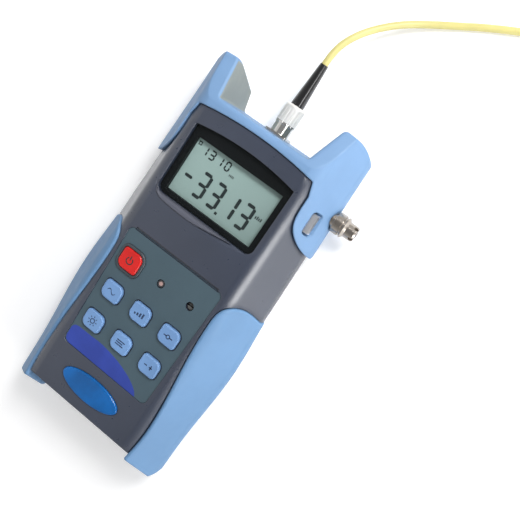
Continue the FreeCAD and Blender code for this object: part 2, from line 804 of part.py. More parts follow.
def receptacle():
    """Optical port: square flange, threaded barrel in front, sleeve through the wall behind."""
    half = flange_side / 2
    flange = prism(outline(rounded_rect(port_x, port_z, flange_side, flange_side, 1.0), on_xz(valley_y)),
                   Vector(0, flange_t, 0))
    face = valley_y + flange_t
    back = body_top - wall
    pieces = [flange, along_y(port_x, port_z, sleeve_r, back, valley_y),
              along_y(port_x, port_z, thread_r, face, face + thread_l)]
    body = fused(pieces)
    body = body.cut(along_y(port_x, port_z, plug_body_r + fit_gap, valley_y, face + thread_l + 1.0))
    body = body.cut(along_y(port_x, port_z, ferrule_r + ferrule_gap, back, face))
    body = body.cut(along_y(port_x, port_z, detector_r + fit_gap, back - 1.0, back + 1.5))
    for s in (1, -1):
        for t in (1, -1):
            body = body.cut(along_y(port_x + s * (half - 1.9), port_z + t * (half - 1.9), 0.8,
                                    valley_y - 1.0, face + 1.0))
    key_slot = block(port_x - 1.05, port_x + 1.05, face + thread_l - 2.0, face + thread_l + 1.0,
                     port_z + plug_body_r - 0.5, port_z + thread_r + 1.0)
    return body.cut(key_slot)


def detector():
    """Photodiode can behind the port."""
    back = body_top - wall
    rim = along_y(port_x, port_z, detector_r + 0.6, back - detector_l, back - detector_l + 0.6)
    return rim.fuse(along_y(port_x, port_z, detector_r, back - detector_l, back + 1.4)).removeSplitter()


class PlugFrame:
    """Places a connector: origin at its flange face, axis out of the port, and a side direction."""

    def __init__(self, origin, axis, side):
        self.origin, self.axis, self.side = origin, axis, side

    def turned(self, profile):
        return revolved(profile, self.origin, self.axis, self.side)


def plug_stations():
    """Distances along a connector from the face that its nut screws up to."""
    shoulder = thread_l + 0.4
    rear = nut_lift + nut_l
    return shoulder, rear


def plug_body(frame):
    """Ferrule, body and rear stem of the connector in one turned piece."""
    shoulder, rear = plug_stations()
    tip = ferrule_tip_y - (valley_y + flange_t)
    return frame.turned([(tip, 0), (tip, ferrule_r), (nut_lift, ferrule_r), (nut_lift, plug_body_r),
                         (shoulder, plug_body_r), (shoulder, plug_shoulder_r),
                         (shoulder + plug_shoulder_l, plug_shoulder_r),
                         (shoulder + plug_shoulder_l, plug_stem_r), (rear + plug_stem_l, plug_stem_r),
                         (rear + plug_stem_l, 0)])


def plug_nut(frame):
    """Coupling nut: fluted lower end, smooth barrel, bored over the thread and the shoulder."""
    shoulder, rear = plug_stations()
    step = shoulder + plug_shoulder_l + nut_gap
    nut = frame.turned([(nut_lift, thread_r + nut_gap), (nut_lift, nut_low_r), (nut_lift + nut_low_l, nut_low_r),
                        (nut_lift + nut_low_l, nut_r), (rear - 0.8, nut_r), (rear, nut_r - 0.8),
                        (rear, plug_stem_r + nut_gap), (step, plug_stem_r + nut_gap),
                        (step, thread_r + nut_gap)])
    other = frame.axis.cross(frame.side)
    for i in range(nut_flutes):
        turn = 2 * math.pi * i / nut_flutes
        out = frame.side * math.cos(turn) + other * math.sin(turn)
        start = frame.origin + frame.axis * (nut_lift + nut_low_l + 0.6) + out * (nut_r + 0.35)
        nut = nut.cut(Part.makeCylinder(0.55, nut_l - nut_low_l - 2.4, start, frame.axis))
    return nut


def plug_boot(frame):
    """Tapered boot over the stem; the cord starts at its end face."""
    _, rear = plug_stations()
    start = rear + fit_gap
    end = rear + boot_l
    return frame.turned([(start, plug_stem_r + fit_gap), (start, boot_r0), (start + boot_collar, boot_r0),
                         (end, boot_r1), (end, 0), (rear + plug_stem_l + fit_gap, 0),
                         (rear + plug_stem_l + fit_gap, plug_stem_r + fit_gap)])


def port_frame():
    return PlugFrame(Vector(port_x, valley_y + flange_t, port_z), Vector(0, 1, 0), Vector(0, 0, 1))


def far_frame():
    """The far connector lies beside the coil, pointing along -X."""
    _, rear = plug_stations()
    cx, cy = coil_centre
    start = Vector(cx - tail_l - boot_l - rear, cy + coil_r, tail_z)
    return PlugFrame(start, Vector(1, 0, 0), Vector(0, 0, 1))


def tube(route, radius):
    """Round tube along straight runs joined by the largest tangent arcs; prints the arc radii."""
    points = [Vector(*p) for p in route]
    edges, radii, last = [], [], points[0]
    for before, corner, after in zip(points, points[1:], points[2:]):
        inward, outward = before - corner, after - corner
        cut = 0.45 * min(inward.Length, outward.Length)
        inward.normalize()
        outward.normalize()
        half = inward.getAngle(outward) / 2
        radii.append(cut * math.tan(half))
        middle = (inward + outward).normalize() * (cut / math.cos(half) - radii[-1])
        start, end = corner + inward * cut, corner + outward * cut
        edges += [Part.makeLine(last, start), Part.Arc(start, corner + middle, end).toShape()]
        last = end
    edges.append(Part.makeLine(last, points[-1]))
    path = Part.Wire(edges)
    circle = Part.Wire([Part.makeCircle(radius, points[0], (points[1] - points[0]).normalize())])
    sweep = path.makePipeShell([circle], True, False)
    if radii:
        print("arc radii", " ".join("%.0f" % r for r in radii))
    print("tube volume %.1f, section times length %.1f" % (
        sweep.Volume, math.pi * radius ** 2 * path.Length))
    return sweep


def cord_coil():
    """Outer form of the turns that are put away."""
    cx, cy = coil_centre
    w, h, c = coil_w / 2, coil_h / 2, coil_chamfer
    section = [(-w, c - h), (c - w, -h), (w - c, -h), (w, c - h), (w, h - c), (w - c, h), (c - w, h), (-w, h - c)]
    points = [Vector(cx + coil_r + u, cy, h + v) for u, v in section]
    return Part.Face(Part.makePolygon(points + points[:1])).revolve(Vector(cx, cy, 0), Vector(0, 0, 1), 360.0)


def cord_tail():
    """Straight stub from the far boot into the side of the coil."""
    cx, cy = coil_centre
    return rod(cx - tail_l, cy + coil_r, tail_z, cord_r, tail_l - tail_sunk, Vector(1, 0, 0))


def usb_socket():
    """Small socket with its metal shell open to the right."""
    half, low = usb_l / 2, board_top_z
    shell = block(usb_inner_x, usb_mouth_x, usb_y - half, usb_y + half, low, low + usb_h)
    return shell.cut(block(usb_inner_x + 1.0, usb_mouth_x + 1.0, usb_y - half + usb_wall,
                           usb_y + half - usb_wall, low + usb_wall, low + usb_h - usb_wall))


def usb_tongue():
    half, middle = usb_l / 2 - 1.6, board_top_z + usb_h / 2
    return block(usb_inner_x + 1.0, usb_mouth_x - 0.8, usb_y - half, usb_y + half, middle - 0.5, middle + 0.5)


def side_port():
    """Turned metal port for a bare ferrule: neck, barrel with a groove, notched nose."""
    axis, side = Vector(1, 0, 0), Vector(0, 0, 1)
    origin = Vector(0, side_port_y, side_port_z)
    x0, x1, x2, x3 = side_inner_x, side_seat_x, side_shoulder_x, side_end_x
    port = revolved([(x0, 0), (x0, side_neck_r), (x1, side_neck_r), (x1, side_barrel_r), (x1 + 3.2, side_barrel_r),
                     (x1 + 3.4, side_barrel_r - 0.5), (x1 + 4.0, side_barrel_r - 0.5),
                     (x1 + 4.2, side_barrel_r), (x2 - 0.8, side_barrel_r), (x2, side_nose_r + 0.2),
                     (x2 + 0.2, side_nose_r), (x3 - 0.6, side_nose_r), (x3, side_nose_r - 0.6), (x3, 0)],
                    origin, axis, side)
    port = port.cut(rod(x3 - side_bore_l, side_port_y, side_port_z, side_bore_r, side_bore_l + 1.0, axis))
    for i in range(side_notches):
        notch = block(x3 - side_notch_l, x3 + 1.0, side_port_y - side_notch_w / 2, side_port_y + side_notch_w / 2,
                      side_port_z + side_bore_r + 1.2, side_port_z + side_barrel_r)
        notch.rotate(origin, axis, 45.0 + 360.0 * i / side_notches)
        port = port.cut(notch)
    return port


def write(name, shape):
    if shape.ShapeType != "Solid" and len(shape.Solids) == 1:
        shape = shape.Solids[0]
    print("%-18s solids %d faces %3d volume %9.1f valid %s" % (
        name, len(shape.Solids), len(shape.Faces), shape.Volume, shape.isValid()))
    shape.exportStep("parts/%s.step" % name)


def main():
    os.makedirs("parts", exist_ok=True)
    body = both_shells()
    write("front_shell", front_shell(body))
    write("back_shell", back_shell(body))
    write("top_cap", cap())
    write("right_grip", grip(1))
    write("left_grip", grip(-1))
    write("display_lens", display_lens())
    write("display_frame", display_frame())
    write("display_panel", display_panel())
    write("keypad_label", keypad_label())
    write("power_key", key(*power_place, power_w, power_h))
    write("power_bezel", power_bezel())
    for number, (x, y) in enumerate(key_places(), 1):
        write("key_%d" % number, key(x, y, key_w, key_h))
    write("main_board", main_board())
    write("trimmer_rotor", trimmer_rotor())
    write("light_sensor", light_sensor())
    write("badge", badge())
    write("battery_door", battery_door())
    for number, column in enumerate((-1, 0, 1), 1):
        write("cell_%d" % number, cell(column))
    write("contact_strip", contact_strip())
    write("contact_springs", contact_springs())
    for number, side in enumerate((-1, 1), 1):
        write("case_screw_%d" % number, case_screw(side))
    write("optical_port", receptacle())
    write("detector", detector())
    for name, frame in (("plug", port_frame()), ("far", far_frame())):
        write(name + "_body", plug_body(frame))
        write(name + "_nut", plug_nut(frame))
        write(name + "_boot", plug_boot(frame))
    write("cord_free", tube(cord_route, cord_r))
    write("cord_coil", cord_coil())
    write("cord_tail", cord_tail())
    write("usb_socket", usb_socket())
    write("usb_tongue", usb_tongue())
    write("side_port", side_port())


main()
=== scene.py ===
"""Looks, camera and light for the handheld optical power meter.

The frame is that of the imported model: the meter lies on its back, with +Y towards its optical port
and +Z out of its display. Lengths are in metres. The cord's route, the prints and the ridge under
the display are drawn in millimetres and multiplied by MM.
"""

import math

import bmesh
import bpy
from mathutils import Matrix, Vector

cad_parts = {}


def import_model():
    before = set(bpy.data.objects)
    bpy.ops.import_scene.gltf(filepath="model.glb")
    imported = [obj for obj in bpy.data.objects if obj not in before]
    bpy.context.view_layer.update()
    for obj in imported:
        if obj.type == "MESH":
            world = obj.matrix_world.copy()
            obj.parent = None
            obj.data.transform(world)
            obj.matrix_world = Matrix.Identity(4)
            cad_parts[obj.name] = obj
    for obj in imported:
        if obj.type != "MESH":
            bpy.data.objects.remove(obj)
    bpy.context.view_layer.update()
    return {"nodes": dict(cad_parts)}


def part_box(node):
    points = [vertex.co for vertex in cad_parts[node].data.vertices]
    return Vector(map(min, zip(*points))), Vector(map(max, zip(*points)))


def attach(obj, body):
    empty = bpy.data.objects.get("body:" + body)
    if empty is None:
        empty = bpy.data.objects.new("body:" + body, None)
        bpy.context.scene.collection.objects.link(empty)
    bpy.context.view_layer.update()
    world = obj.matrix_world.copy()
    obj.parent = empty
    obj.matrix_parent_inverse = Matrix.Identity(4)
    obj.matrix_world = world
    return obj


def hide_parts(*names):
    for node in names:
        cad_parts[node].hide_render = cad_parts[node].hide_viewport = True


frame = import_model()
nodes = frame["nodes"]

MM = 0.001
WHITE = (1.0, 1.0, 1.0, 1.0)

# ---------------------------------------------------------------- camera and lamps
CAMERA_PLACE = (0.08561, 0.07821, 0.29981)
CAMERA_TURN = (-1.8865, 15.8653, 35.3349)     # degrees, XYZ
CAMERA_LENS = 48.46
LAMPS = [                                     # name, place, aim, size, watts
    ("key_light", (0.16, 0.38, 0.40), (0.0, 0.0, 0.0), (0.2, 0.2), 2.6),
    ("side_light", (0.5, -0.08, 0.17), (0.03, 0.0, 0.02), (0.2, 0.34), 1.15),
    ("strip_light", (0.30, 0.13, 0.30), (0.003, 0.095, 0.014), (0.16, 0.06), 0.2),
    ("fill_light", (-0.5, -0.2, 0.6), (0.0, 0.0, 0.0), (0.7, 0.7), 0.5),
]

# ---------------------------------------------------------------- floor and surroundings
FLOOR_REACH = 3.0
FLOOR_DROP = 0.0001                           # below the meter's back, so the two never coincide
FLOOR_FADE = (0.25, 1.6)                      # distances between which the floor's own glow rises
FLOOR_GLOW = (0.22, 1.0)                      # as seen by the camera
SKY_RISE = (0.1, 0.9)                         # upward part of the direction
SKY_LEVEL = (0.8, 0.24)                       # near the horizon, overhead
SKY_SEEN = 1.0                                # as seen by the camera

# ---------------------------------------------------------------- patch cord, as in the CAD source
CORD_ROUTE = [(1.0, 104.6, 14.0), (1.0, 110.6, 14.0), (2.8, 117.2, 13.1), (6.2, 123.8, 10.9),
              (11.0, 130.2, 8.0), (17.2, 136.4, 4.8), (25.4, 142.0, 2.2), (35.0, 147.2, 1.5),
              (45.2, 152.5, 1.5), (55.4, 157.0, 1.5), (65.6, 161.3, 1.5), (75.6, 165.9, 1.5)]
CORD_RADIUS = 1.5
COIL_CENTRE = (72.0, 187.2)
COIL_LANES = [(21.0, 1.5), (18.0, 1.5), (15.0, 1.5), (15.0, 4.5), (15.0, 7.5), (18.0, 7.5),
              (21.0, 7.5), (21.0, 4.5), (18.0, 4.5)]       # (radius, height) of the turns, in order
COIL_START = -58.0                            # degrees
COIL_END = 90.0 + 7 * 360.0
COIL_POINTS = 16                              # per turn
COIL_LEAVES = (-4.0, 0.2)                     # where it leaves the coil, from its centre and the boot's axis
TAIL_BEND = -11.0                             # where it is in line with the far boot, from the centre

# ---------------------------------------------------------------- display
GLASS_W = 43.4                                # the visible part of the glass
GLASS_H = 25.0
BIG_DIGIT = (4.9, 11.8, 1.45)                 # width, height, stroke
SMALL_DIGIT = (2.6, 4.3, 0.7)
SEGMENTS = {"0": "abcdef", "1": "bc", "3": "abcdg"}
SEGMENT_GAP = 0.12                            # left open at each end, in strokes
SEGMENT_POINT = 0.6                           # length of the pointed end, in half strokes

# Right and down of the glass's upper left corner: rows of digits as (characters, lefts, top, size),
# the minus sign as (from, to, depth, stroke), and small bars as (x0, y0, x1, y1).
DIGIT_ROWS = [("3313", (9.9, 17.4, 24.9, 32.3), 10.1, BIG_DIGIT),
              ("1310", (3.7, 7.6, 11.6, 15.5), 1.3, SMALL_DIGIT)]
MINUS_SIGN = (2.8, 6.7, 16.0, 1.35)
POINT = [(22.7, 22.6, 23.9, 21.4)]
ROW_UNIT = [(19.2 + 0.65 * i, 6.5, 19.55 + 0.65 * i, 5.5) for i in range(4)]
READING_UNIT = [(38.1 + 0.85 * i, 14.2, 38.65 + 0.85 * i, 12.6 if i % 2 else 13.0) for i in range(4)]
CORNER_SIGN = [(0.7, 1.6, 2.3, 1.2), (0.7, 2.9, 2.3, 2.5), (0.7, 2.5, 1.1, 1.6), (1.9, 2.5, 2.3, 1.6)]

# ---------------------------------------------------------------- ridge under the display
# (x, y of the crest, y of the inner edge), y from just below the lens. At its left end the ridge
# turns up round the frame's corner, where the inner edge leaves the lens.
RIDGE = [(-24.9, 4.5, 3.68), (-24.7, 2.2, 2.6), (-24.0, 0.3, 0.7), (-22.9, -1.1, 0.48),
         (-21.2, -1.9, 0.0), (-19.0, -2.3, 0.0), (-16.0, -2.5, 0.0), (-12.5, -2.7, 0.0),
         (-9.0, -2.8, 0.0), (-5.5, -2.8, 0.0), (-2.0, -2.55, 0.0), (1.5, -2.1, 0.0),
         (5.0, -1.55, 0.0), (8.5, -1.0, 0.0), (12.0, -0.5, 0.0), (15.5, -0.15, 0.0)]
RIDGE_HEIGHT = 0.28
RIDGE_FOOT = 0.02                             # least height of the crest
RIDGE_SLOPE = 0.45                            # from the crest out to the foot
RIDGE_EDGE = 0.05                             # least distance from the crest to the foot
RIDGE_TURN = 0.25                             # further out at the turned end
RIDGE_INNER_LIMIT = -24.6
RIDGE_GAP = 0.0001                            # from the lens, in metres
RIDGE_LIFT = 0.00001
RIDGE_SINK = 0.00002

# ---------------------------------------------------------------- label and keys
KEY_NODES = ["key_%d" % i for i in range(1, 7)]
LABEL_LINE_END = 2.2                          # ends of the painted shadow line, from the label's sides
LABEL_LINE = (0.5, 0.05)                      # painted shadow line, from the label's upper edge
FIELD_LEFT = 1.6
FIELD_TOP = [(0.1, 6.9), (0.6, 7.9), (1.6, 8.6), (3.2, 8.9), (9.6, 9.0), (14.0, 9.2), (17.0, 9.1),
             (21.0, 8.6), (25.4, 7.9), (29.2, 6.9), (33.6, 5.4), (37.0, 3.7), (39.4, 2.0),
             (40.4, 0.6), (40.5, 0.05)]
FIELD_CORNER = [(0.12, 2.4), (0.8, 0.75), (2.4, 0.05)]
KEY_SHADE_WIDTH = 0.00035                       # painted shade round a key, where the gap between key and hole falls dark
KEY_GAP_REACH = 0.001                         # an edge this near a key belongs to its hole
TOP_TOLERANCE = 0.00002
STEEP = 0.3                                   # a face with a smaller Z in its normal is a wall
MARK_HALF = 0.25                              # half of a mark's line
WAVE = (2.1, 0.9, 12)                         # half width, height, steps
RAYS = (1.6, 2.3, 0.2, 8)                     # from, to, half width, count

DIGIT_THICK = 0.00003
FIELD_THICK = 0.00002
MARK_THICK = 0.00001                          # thin, so that no mark stands past the CAD box

# ---------------------------------------------------------------- limits of looks on single nodes
COLLAR = (0.36, 0.40)                         # where the nut's polished collar ends, along its length
SHOULDER = (0.0245, 0.0260)                   # distance from the middle where the shell's wide edges start
VALLEY_DEPTH = 0.0172                         # from the ears' tips down to the cap between them
EAR_WALL_START = 0.0223                       # half of the valley's width at its bottom
EAR_WALL_SLOPE = 0.251                        # and how it widens towards the tips
SENSOR_RADIUS = 0.0009
SENSOR_BLUR = 0.0001

MIX_SOCKETS = {"FLOAT": (2, 3, 0), "VECTOR": (4, 5, 1), "RGBA": (6, 7, 2)}    # A, B and result


# ---------------------------------------------------------------- node helpers

class Nodes:
    """Short calls that add and link the nodes of one tree."""

    def __init__(self, tree):
        self.tree = tree

    def add(self, kind, **settings):
        node = self.tree.nodes.new(kind)
        for key, value in settings.items():
            setattr(node, key, value)
        return node

    def feed(self, value, target):
        """Link a node's output to the target, or give the target a plain value."""
        if isinstance(value, bpy.types.NodeSocket):
            self.tree.links.new(value, target)
        else:
            target.default_value = value

    def axes(self, vector):
        """X, Y and Z of a vector."""
        split = self.add("ShaderNodeSeparateXYZ")
        self.feed(vector, split.inputs["Vector"])
        return split.outputs["X"], split.outputs["Y"], split.outputs["Z"]

    def compute(self, operation, a, b=0.0):
        node = self.add("ShaderNodeMath", operation=operation)
        self.feed(a, node.inputs[0])
        self.feed(b, node.inputs[1])
        return node.outputs[0]

    def rescale(self, value, start, end, low=0.0, high=1.0):
        """Turn start..end into low..high, held at both ends."""
        node = self.add("ShaderNodeMapRange")
        for name, limit in (("From Min", start), ("From Max", end), ("To Min", low), ("To Max", high)):
            node.inputs[name].default_value = limit
        self.feed(value, node.inputs["Value"])
        return node.outputs["Result"]

    def mix(self, kind, factor, a, b):
        node = self.add("ShaderNodeMix", data_type=kind)
        first, second, result = MIX_SOCKETS[kind]
        self.feed(factor, node.inputs[0])
        self.feed(a, node.inputs[first])
        self.feed(b, node.inputs[second])
        return node.outputs[result]

    def for_camera(self):
        """1 for what the camera sees directly, otherwise 0."""
        return self.add("ShaderNodeLightPath").outputs["Is Camera Ray"]


class Shader(Nodes):
    """A material with its Principled surface. Noise scales are per metre."""

    def __init__(self, name, color, roughness, metallic=0.0):
        self.material = bpy.data.materials.new(name)
        self.material.use_nodes = True
        self.material.diffuse_color = (*color, 1.0)
        super().__init__(self.material.node_tree)
        self.surface = self.tree.nodes["Principled BSDF"]
        self.place = None
        self.set("Base Color", (*color, 1.0))
        self.set("Roughness", roughness)
        self.set("Metallic", metallic)

    def set(self, name, value):
        self.feed(value, self.surface.inputs[name])

    def coordinates(self, stretch=(1.0, 1.0, 1.0)):
        if self.place is None:
            self.place = self.add("ShaderNodeTexCoord")
        mapping = self.add("ShaderNodeMapping")
        mapping.inputs["Scale"].default_value = stretch
        self.feed(self.place.outputs["Object"], mapping.inputs["Vector"])
        return mapping.outputs["Vector"]

    def distance(self, point):
        """Distance of the shaded place from a point."""
        node = self.add("ShaderNodeVectorMath", operation="DISTANCE")
        self.feed(self.coordinates(), node.inputs[0])
        node.inputs[1].default_value = point
        return node.outputs["Value"]

    def noise(self, per_metre, detail=3.0, stretch=(1.0, 1.0, 1.0)):
        node = self.add("ShaderNodeTexNoise")
        node.inputs["Scale"].default_value = per_metre
        node.inputs["Detail"].default_value = detail
        self.feed(self.coordinates(stretch), node.inputs["Vector"])
        return node.outputs["Fac"]

    def shade(self, factor, color, low, high, start=0.35, end=0.65):
        """Set the base colour to the colour times low..high, as the factor goes from start to end."""
        node = self.add("ShaderNodeValToRGB")
        for stop, position, level in zip(node.color_ramp.elements, (start, end), (low, high)):
            stop.position = position
            stop.color = (*(min(1.0, c * level) for c in color), 1.0)
        self.feed(factor, node.inputs["Fac"])
        self.set("Base Color", node.outputs["Color"])

    def uneven(self, noise, low, high):
        """Let the roughness follow a noise."""
        self.set("Roughness", self.rescale(noise, 0.3, 0.7, low, high))

    def bump(self, height, strength, distance, normal=None):
        node = self.add("ShaderNodeBump")
        node.inputs["Strength"].default_value = strength
        node.inputs["Distance"].default_value = distance
        self.feed(height, node.inputs["Height"])
        if normal is not None:
            self.feed(normal, node.inputs["Normal"])
        self.set("Normal", node.outputs["Normal"])

    def soft_edges(self, radius):
        node = self.add("ShaderNodeBevel", samples=6)
        node.inputs["Radius"].default_value = radius
        return node.outputs["Normal"]

    def recolour(self, factor, color):
        """Mix another colour over the present base colour."""
        present = self.surface.inputs["Base Color"].links[0].from_socket
        self.set("Base Color", self.mix("RGBA", factor, present, (*color, 1.0)))


# ---------------------------------------------------------------- looks

def moulded(name, color, roughness, grain=1600.0, relief=0.12, edge=0.0006, shade=0.1):
    """Moulded plastic: fine grain, slight variation of colour and gloss, softened edges."""
    look = Shader(name, color, roughness)
    look.shade(look.noise(45.0), color, 1 - shade, 1 + shade)
    look.uneven(look.noise(240.0), roughness - 0.05, roughness + 0.05)
    normal = look.soft_edges(edge) if edge else None
    look.bump(look.noise(grain, 2.0), relief, 0.00005, normal)
    return look


def gloss(name, color, roughness, coat=0.6, shade=0.06, edge=0.0003):
    """Smooth plastic or ink under a clear coat."""
    look = Shader(name, color, roughness)
    look.set("Coat Weight", coat)
    look.set("Coat Roughness", 0.08)
    look.shade(look.noise(80.0), color, 1 - shade, 1 + shade)
    look.bump(look.noise(500.0, 2.0), 0.04, 0.00003, look.soft_edges(edge))
    return look


def printed(name, color, roughness, shade=0.1):
    """Flat ink, also used as painted shadow on the label."""
    return gloss(name, color, roughness, coat=0.0, shade=shade, edge=0.00005)


def plated(name, color, roughness, stretch):
    """Nickel plate with fine turning marks that run round the piece."""
    look = Shader(name, color, roughness, 1.0)
    marks = look.noise(1400.0, 2.0, stretch)
    look.shade(look.noise(40.0), color, 0.96, 1.03)
    look.uneven(marks, roughness - 0.03, roughness + 0.05)
    look.set("Normal", look.soft_edges(0.00012))
    return look


def steel(name, color, roughness):
    """Plain drawn steel."""
    look = Shader(name, color, roughness, 1.0)
    look.uneven(look.noise(700.0, 3.0, (1.0, 8.0, 1.0)), roughness - 0.08, roughness + 0.08)
    look.bump(look.noise(1500.0), 0.06, 0.00003)
    return look


def painted_shell():
    """Grey lacquered plastic; the long shoulders catch the light as wide rounded edges."""
    color, roughness = (0.028, 0.037, 0.063), 0.3
    look = Shader("shell_grey", color, roughness)
    look.set("Specular IOR Level", 0.9)
    look.set("Coat Weight", 0.6)
    look.set("Coat Roughness", 0.22)
    look.shade(look.noise(45.0), color, 0.93, 1.07)
    look.uneven(look.noise(240.0), roughness - 0.03, roughness + 0.03)
    x, _, _ = look.axes(look.coordinates())
    shoulder = look.rescale(look.compute("ABSOLUTE", x), *SHOULDER)
    normal = look.mix("VECTOR", shoulder, look.soft_edges(0.0007), look.soft_edges(0.0045))
    look.bump(look.noise(1600.0, 1.0), 0.03, 0.00003, normal)
    return look


def grey_walled_cap():
    """The cap's blue plastic, turning to grey on the walls that face each other between the ears."""
    look = moulded("cap_blue", (0.162, 0.292, 0.495), 0.5, relief=0.06, edge=0.0009, shade=0.04)
    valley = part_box("top_cap")[1].y - VALLEY_DEPTH
    x, y, _ = look.axes(look.coordinates())
    widening = look.compute("MULTIPLY", look.compute("SUBTRACT", y, valley), EAR_WALL_SLOPE)
    half_width = look.compute("ADD", widening, EAR_WALL_START)
    between_ears = look.compute("LESS_THAN", look.compute("ABSOLUTE", x), half_width)
    above_valley = look.compute("GREATER_THAN", y, valley)
    look.recolour(look.compute("MULTIPLY", between_ears, above_valley), (0.24, 0.27, 0.26))
    return look


def nut_plate():
    """Nickel with a satin knurled barrel and a polished collar at the socket end."""
    look = plated("nickel_nut", (0.84, 0.83, 0.80), 0.3, (0.02, 1.0, 0.02))
    low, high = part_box("plug_nut")
    start, end = [low.y + part * (high.y - low.y) for part in COLLAR]
    _, y, _ = look.axes(look.coordinates())
    look.set("Metallic", look.rescale(y, start, end, 1.0, 0.45))
    look.set("Roughness", look.rescale(y, start, end, 0.12, 0.38))
    return look


def display_glass():
    """Grey-green reflective display, with painted light and shade: lighter towards its upper left, darker
    towards its lower right corner.
    """
    color = (0.35, 0.49, 0.465)
    look = Shader("lcd_glass", color, 0.45)
    low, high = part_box("display_panel")
    x, y, _ = look.axes(look.coordinates())
    # painted light and shade: the base colour runs from lighter at the upper left to darker at the lower
    # right
    painted_shade_ramp = look.rescale(look.compute("SUBTRACT", x, y), low.x - high.y, high.x - low.y)
    look.shade(painted_shade_ramp, color, 1.12, 0.82, 0.1, 0.9)
    look.uneven(look.noise(2500.0), 0.4, 0.5)
    look.bump(look.noise(4000.0, 1.0), 0.04, 0.00002)
    return look


def clear_lens():
    """Thin clear window, nearly see-through."""
    look = Shader("lens_clear", (0.02, 0.025, 0.025), 0.06)
    look.set("Alpha", 0.08)
    look.set("IOR", 1.49)
    look.set("Specular IOR Level", 0.25)
    look.bump(look.noise(90.0), 0.03, 0.00005)
    return look


def satin_black():
    """The display's black frame."""
    color = (0.003, 0.004, 0.005)
    look = Shader("frame_black", color, 0.5)
    look.set("Specular IOR Level", 0.15)
    look.shade(look.noise(50.0), color, 0.8, 1.3)
    look.bump(look.noise(1500.0), 0.04, 0.00002)
    return look


def ringed_sensor():
    """The light sensor: clear plastic, dark outside a circle about its middle."""
    look = gloss("sensor_clear", (0.42, 0.27, 0.25), 0.3, coat=0.8)
    low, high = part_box("light_sensor")
    reach = look.distance(((low.x + high.x) / 2, (low.y + high.y) / 2, high.z))
    outside = look.rescale(reach, SENSOR_RADIUS - SENSOR_BLUR, SENSOR_RADIUS + SENSOR_BLUR)
    look.recolour(outside, (0.03, 0.03, 0.035))
    return look


def cord_jacket():
    """Pale yellow jacket, slightly waxy, with faint extrusion marks."""
    color = (0.64, 0.575, 0.22)
    look = Shader("cord_jacket", color, 0.42)
    look.set("Subsurface Weight", 0.1)
    look.set("Subsurface Radius", (0.002, 0.0015, 0.0006))
    look.shade(look.noise(70.0), color, 0.95, 1.05)
    look.uneven(look.noise(600.0), 0.37, 0.47)
    look.bump(look.noise(1800.0, 2.0), 0.08, 0.00004)
    return look


# ---------------------------------------------------------------- looks on the CAD nodes

def dress(look, *names):
    """Give whole nodes one look."""
    for name in names:
        slots = nodes[name].data.materials
        if not slots:
            slots.append(look.material)
        for i in range(len(slots)):
            slots[i] = look.material


def dress_housing():
    dress(painted_shell(), "front_shell", "back_shell", "battery_door")
    dress(moulded("trim_blue", (0.122, 0.250, 0.440), 0.52, relief=0.06, edge=0.0011, shade=0.04),
          "right_grip", "left_grip")
    dress(grey_walled_cap(), "top_cap")
    dress(clear_lens(), "display_lens")
    dress(satin_black(), "display_frame")
    dress(display_glass(), "display_panel")


def dress_keypad():
    dress(moulded("label_grey_green", (0.056, 0.094, 0.118), 0.45, grain=2600.0, relief=0.06,
                  edge=0.0, shade=0.05), "keypad_label")
    dress(moulded("key_blue", (0.155, 0.29, 0.54), 0.42, grain=2200.0, relief=0.08, edge=0.0004),
          *KEY_NODES)
    dress(gloss("key_red", (0.54, 0.008, 0.006), 0.3, coat=0.1, shade=0.15, edge=0.0006), "power_key")
    dress(moulded("bezel_dark", (0.045, 0.055, 0.065), 0.4, edge=0.0003), "power_bezel")
    dress(gloss("board_green", (0.02, 0.16, 0.06), 0.4, coat=0.3), "main_board")
    dress(moulded("rotor_white", (0.10, 0.10, 0.095), 0.5), "trimmer_rotor")
    dress(ringed_sensor(), "light_sensor")
    dress(gloss("badge_blue", (0.0, 0.105, 0.36), 0.16, coat=0.0, shade=0.2), "badge")


def dress_inside():
    dress(gloss("cell_wrap", (0.03, 0.03, 0.035), 0.3), "cell_1", "cell_2", "cell_3")
    dress(steel("contact_steel", (0.55, 0.55, 0.56), 0.35),
          "contact_strip", "contact_springs", "detector")
    dress(steel("screw_steel", (0.08, 0.08, 0.085), 0.4), "case_screw_1", "case_screw_2")


def dress_connectors():
    dress(plated("nickel_y", (0.72, 0.70, 0.66), 0.14, (0.02, 1.0, 0.02)),
          "optical_port", "plug_body", "far_body")
    dress(nut_plate(), "plug_nut", "far_nut")
    dress(plated("nickel_x", (0.50, 0.45, 0.40), 0.2, (1.0, 0.02, 0.02)), "side_port")
    dress(gloss("boot_black", (0.005, 0.005, 0.006), 0.2, coat=1.0, shade=0.2),
          "plug_boot", "far_boot")
    dress(steel("socket_steel", (0.86, 0.86, 0.88), 0.36), "usb_socket")
    dress(moulded("tongue_black", (0.015, 0.015, 0.016), 0.5), "usb_tongue")


# ---------------------------------------------------------------- pieces made here

def place_object(name, data):
    piece = bpy.data.objects.new(name, data)
    bpy.context.scene.collection.objects.link(piece)
    return piece


def finish_mesh(name, build, look):
    """Turn a closed bmesh into an object with one look."""
    bmesh.ops.recalc_face_normals(build, faces=build.faces)
    mesh = bpy.data.meshes.new(name)
    build.to_mesh(mesh)
    build.free()
    mesh.materials.append(look.material)
    return place_object(name, mesh)


def thin_print(name, outlines, z, thickness, look, body):
    """Flat shapes of print and of painted shade, each outline a list of (x, y) in mm, raised by thickness
    above z.
    """
    build = bmesh.new()
    for points in outlines:
        low = [build.verts.new((x * MM, y * MM, z)) for x, y in points]
        high = [build.verts.new((x * MM, y * MM, z + thickness)) for x, y in points]
        build.faces.new(high)
        build.faces.new(low[::-1])
        for i in range(len(points)):
            j = (i + 1) % len(points)
            build.faces.new((low[i], low[j], high[j], high[i]))
    piece = finish_mesh(name, build, look)
    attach(piece, body)


